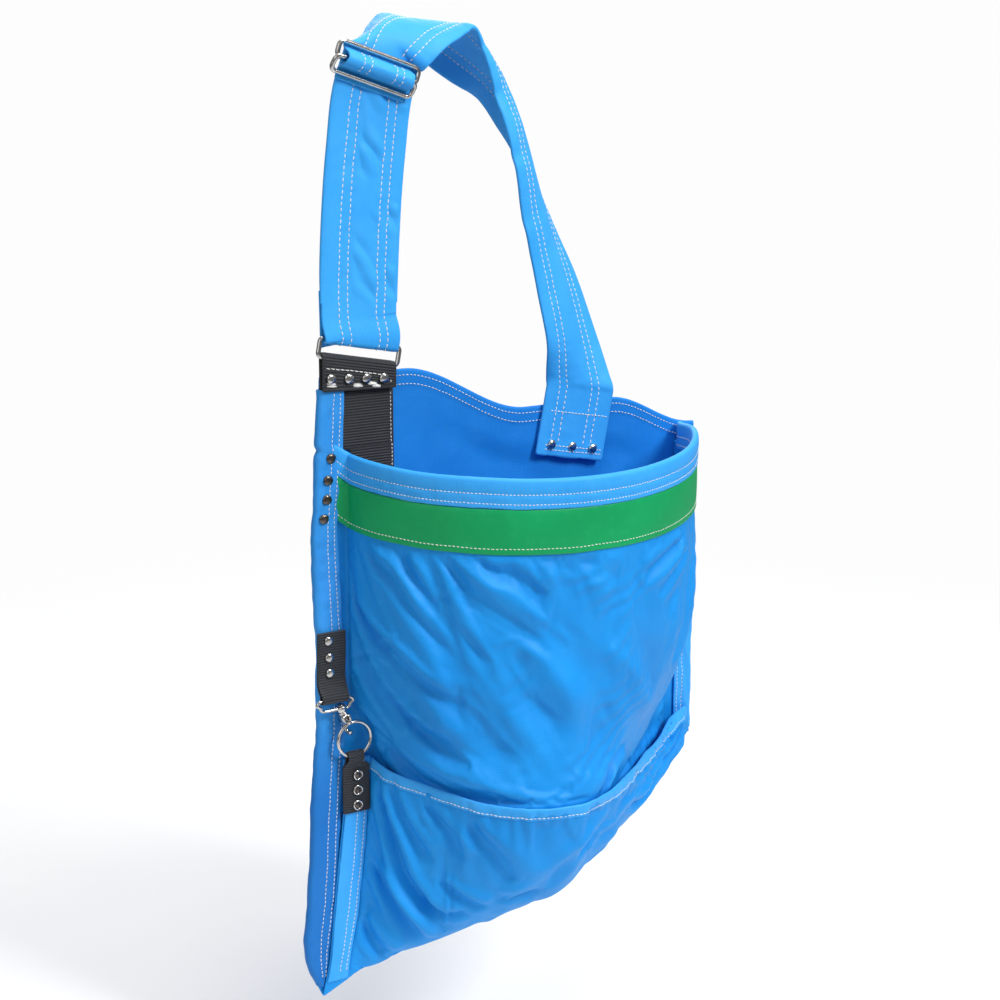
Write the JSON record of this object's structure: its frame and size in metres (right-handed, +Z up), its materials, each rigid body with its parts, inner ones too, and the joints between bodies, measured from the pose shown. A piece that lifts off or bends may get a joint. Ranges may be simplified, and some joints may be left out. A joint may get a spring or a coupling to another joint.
{
  "type": "fruit picking bag",
  "caption": "Over-the-shoulder harvest bag with a D-shaped mouth, a padded strap with a double-ring adjuster and a fold-up dump flap held by a swivel snap.",
  "frame": {"origin": "rear face of the back panel, at mid width and at the level of the rim", "axes": "+X along the back panel to its right as seen from the front, +Y towards the wearer, +Z up"},
  "size_m": [0.4018, 0.198, 0.8312],
  "materials": {
    "blue_cloth": "woven nylon, slight sheen",
    "green_vinyl": "satin coated cloth",
    "black_webbing": "ribbed webbing",
    "bright_steel": "nickel plated wire",
    "dark_steel": "antique nickel",
    "stiffener": "plain"
  },
  "bodies": {
    "bag": {"anchor_rivet_1": "bright_steel", "anchor_rivet_2": "bright_steel", "anchor_rivet_3": "bright_steel", "anchor_rivet_4": "bright_steel", "anchor_webbing": "black_webbing", "back_panel": "blue_cloth", "flange_rivet_1": "dark_steel", "flange_rivet_2": "dark_steel", "flange_rivet_3": "dark_steel", "flange_rivet_4": "dark_steel", "front_panel": "blue_cloth", "green_band": "green_vinyl", "rim_hem": "blue_cloth", "rim_hoop": "stiffener", "side_binding_left": "blue_cloth", "side_binding_right": "blue_cloth", "strap_end_rivet_1": "bright_steel", "strap_end_rivet_2": "bright_steel", "strap_end_rivet_3": "bright_steel", "strap_right_end": "blue_cloth", "upper_tab": "black_webbing", "upper_tab_rivet_1": "bright_steel", "upper_tab_rivet_2": "bright_steel", "upper_tab_rivet_3": "bright_steel"},
    "strap": {"shoulder_strap": "blue_cloth"},
    "strap_ring": {"strap_ring": "bright_steel"},
    "cinch": {"adjuster_ring_upper": "bright_steel", "adjuster_ring_lower": "bright_steel", "strap_bight": "blue_cloth"},
    "snap_eye": {"snap_eye": "bright_steel"},
    "snap_hook": {"snap_hook": "bright_steel", "gate_spring": "bright_steel"},
    "snap_gate": {"snap_gate": "bright_steel"},
    "flap": {"dump_flap": "blue_cloth", "flap_hem": "blue_cloth", "flap_edge_strip": "blue_cloth", "lower_tab": "black_webbing", "lower_tab_rivet_1": "bright_steel", "lower_tab_rivet_2": "bright_steel", "lower_tab_rivet_3": "bright_steel"},
    "round_ring": {"round_ring": "bright_steel"}
  },
  "joints": [
    {"name": "strap_swing", "type": "hinge", "parent": "bag", "child": "strap", "pos_m": [-0.1565, -0.0074, 0.075], "axis": [0.982, 0.0054, -0.1888], "range_deg": [-60, 70], "stiffness_Nm_per_rad": 2},
    {"name": "strap_ring_swing", "type": "hinge", "parent": "bag", "child": "strap_ring", "pos_m": [-0.1565, -0.0074, 0.075], "axis": [0.982, 0.0054, -0.1888], "range_deg": [-60, 70]},
    {"name": "cinch_slide", "type": "slide", "parent": "strap", "child": "cinch", "axis": [-0.2451, 0, -0.9695], "range_m": [0, 0.05], "stiffness_N_per_m": 150},
    {"name": "snap_swing", "type": "hinge", "parent": "bag", "child": "snap_eye", "pos_m": [-0.187, -0.0155, -0.2065], "axis": [1, 0, 0], "range_deg": [-1, 4]},
    {"name": "snap_swivel", "type": "hinge", "parent": "snap_eye", "child": "snap_hook", "pos_m": [-0.1767, -0.0155, -0.2308], "axis": [-0.282, 0, 0.9594], "range_deg": [-12, 12]},
    {"name": "snap_gate_slide", "type": "slide", "parent": "snap_hook", "child": "snap_gate", "axis": [0.282, 0, -0.9594], "range_m": [0, 0.0052]},
    {"name": "flap_fold", "type": "hinge", "parent": "bag", "child": "flap", "pos_m": [-0.2, -0.0086, -0.474], "axis": [0.9169, 0, 0.3991], "range_deg": [0, 110]},
    {"name": "ring_swing", "type": "hinge", "parent": "flap", "child": "round_ring", "pos_m": [-0.1696, -0.0155, -0.2598], "axis": [1, 0, 0], "range_deg": [-0.5, 30]}
  ],
  "couplings": [
    {"joint": "strap_ring_swing", "follows": "strap_swing", "ratio": 1}
  ]
}
